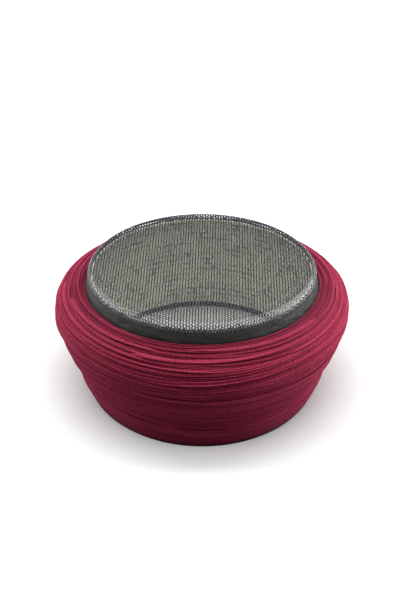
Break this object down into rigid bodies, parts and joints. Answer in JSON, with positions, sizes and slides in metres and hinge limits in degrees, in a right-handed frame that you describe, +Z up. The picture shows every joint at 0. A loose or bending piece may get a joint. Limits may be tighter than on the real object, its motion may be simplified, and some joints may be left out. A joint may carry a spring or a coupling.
{
  "type": "turban",
  "caption": "Ready-wound cotton turban with a flat see-through net crown, a dark band round it and an open oval for the head.",
  "frame": {"origin": "on the surface it stands on, at the middle of the lower edge", "axes": "+Z up through the crown, +Y towards the back of the head, +X to the right as seen from the front"},
  "size_m": [0.227, 0.2307, 0.0974],
  "materials": {
    "wrap_cotton": "matt crimson cotton, wound in many narrow turns",
    "lining_cloth": "matt khaki cotton cloth",
    "band_cloth": "smooth charcoal band with a soft sheen",
    "net": "shiny grey knitted net with open hexagonal holes",
    "binding_tape": "matt black tape"
  },
  "bodies": {
    "root": {"wrap": "wrap_cotton", "cap_wall": "lining_cloth", "crown_band": "band_cloth", "crown_net": "net", "base_binding": "binding_tape"}
  },
  "joints": []
}
